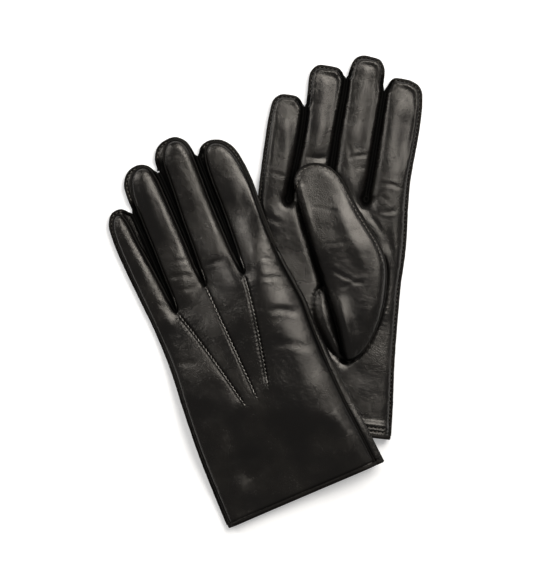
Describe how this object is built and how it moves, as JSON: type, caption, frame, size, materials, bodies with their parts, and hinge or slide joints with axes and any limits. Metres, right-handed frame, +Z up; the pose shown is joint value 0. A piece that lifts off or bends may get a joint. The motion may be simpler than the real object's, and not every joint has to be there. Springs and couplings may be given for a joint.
{
  "type": "pair of dress gloves",
  "caption": "Pair of lined black leather dress gloves laid one over the other, left palm down on right palm up; fingers and a thumb bend at their knuckles and the upper glove lifts off.",
  "frame": {"origin": "on the table, under the middle of the box around both gloves", "axes": "+Z up from the table, +Y the way the fingertips point, +X towards the right glove's index side"},
  "size_m": [0.2018, 0.3032, 0.0236],
  "materials": {
    "black_nappa": "satin",
    "stitched_edge": "satin",
    "knitted_lining": "matte"
  },
  "bodies": {
    "right_hand": {"right_back_panel": "black_nappa", "right_palm_panel": "black_nappa", "right_fourchettes": "black_nappa", "right_hand_lining": "knitted_lining", "right_cuff_binding": "stitched_edge", "right_back_points": "stitched_edge", "right_side_welts": "stitched_edge", "right_thumb_base": "black_nappa"},
    "right_thumb": {"right_thumb_leather": "black_nappa", "right_thumb_lining": "knitted_lining", "right_thumb_welt": "stitched_edge"},
    "right_index": {"right_index_back": "black_nappa", "right_index_palm": "black_nappa", "right_index_fourchettes": "black_nappa", "right_index_lining": "knitted_lining"},
    "right_middle": {"right_middle_back": "black_nappa", "right_middle_palm": "black_nappa", "right_middle_fourchettes": "black_nappa", "right_middle_lining": "knitted_lining"},
    "right_ring": {"right_ring_back": "black_nappa", "right_ring_palm": "black_nappa", "right_ring_fourchettes": "black_nappa", "right_ring_lining": "knitted_lining"},
    "right_little": {"right_little_back": "black_nappa", "right_little_palm": "black_nappa", "right_little_fourchettes": "black_nappa", "right_little_lining": "knitted_lining"},
    "left_hand": {"left_back_panel": "black_nappa", "left_palm_panel": "black_nappa", "left_fourchettes": "black_nappa", "left_hand_lining": "knitted_lining", "left_cuff_binding": "stitched_edge", "left_back_points": "stitched_edge", "left_side_welts": "stitched_edge", "left_thumb_base": "black_nappa", "left_thumb_leather": "black_nappa", "left_thumb_lining": "knitted_lining", "left_thumb_welt": "stitched_edge"},
    "left_index": {"left_index_back": "black_nappa", "left_index_palm": "black_nappa", "left_index_fourchettes": "black_nappa", "left_index_lining": "knitted_lining"},
    "left_middle": {"left_middle_back": "black_nappa", "left_middle_palm": "black_nappa", "left_middle_fourchettes": "black_nappa", "left_middle_lining": "knitted_lining"},
    "left_ring": {"left_ring_back": "black_nappa", "left_ring_palm": "black_nappa", "left_ring_fourchettes": "black_nappa", "left_ring_lining": "knitted_lining"},
    "left_little": {"left_little_back": "black_nappa", "left_little_palm": "black_nappa", "left_little_fourchettes": "black_nappa", "left_little_lining": "knitted_lining"}
  },
  "joints": [
    {"name": "left_glove_lift", "type": "slide", "parent": "right_hand", "child": "left_hand", "axis": [0, 0, 1], "range_m": [0, 0.12]},
    {"name": "right_index_bend", "type": "hinge", "parent": "right_hand", "child": "right_index", "pos_m": [0.08397, 0.09129, 0.009], "axis": [0.9854, -0.1702, 0], "range_deg": [0, 80]},
    {"name": "right_middle_bend", "type": "hinge", "parent": "right_hand", "child": "right_middle", "pos_m": [0.05883, 0.09633, 0.009], "axis": [0.9882, -0.153, 0], "range_deg": [0, 80]},
    {"name": "right_ring_bend", "type": "hinge", "parent": "right_hand", "child": "right_ring", "pos_m": [0.03341, 0.09333, 0.009], "axis": [0.9893, -0.1461, 0], "range_deg": [0, 80]},
    {"name": "right_little_bend", "type": "hinge", "parent": "right_hand", "child": "right_little", "pos_m": [0.01002, 0.08707, 0.009], "axis": [0.9907, -0.1357, 0], "range_deg": [0, 80]},
    {"name": "right_thumb_lift", "type": "hinge", "parent": "right_hand", "child": "right_thumb", "pos_m": [0.04204, 0.01695, 0.0184], "axis": [0.9829, 0.184, 0], "range_deg": [0, 75]},
    {"name": "left_index_bend", "type": "hinge", "parent": "left_hand", "child": "left_index", "pos_m": [-0.01476, 0.05304, 0.0138], "axis": [-0.933, -0.36, 0], "range_deg": [0, 80]},
    {"name": "left_middle_bend", "type": "hinge", "parent": "left_hand", "child": "left_middle", "pos_m": [-0.03884, 0.04481, 0.0138], "axis": [-0.9285, -0.3714, 0], "range_deg": [0, 80]},
    {"name": "left_ring_bend", "type": "hinge", "parent": "left_hand", "child": "left_ring", "pos_m": [-0.05976, 0.02924, 0.01187], "axis": [-0.9198, -0.3923, 0], "range_deg": [0, 80]},
    {"name": "left_little_bend", "type": "hinge", "parent": "left_hand", "child": "left_little", "pos_m": [-0.07725, 0.01185, 0.00492], "axis": [-0.9056, -0.4242, 0], "range_deg": [0, 80]}
  ]
}
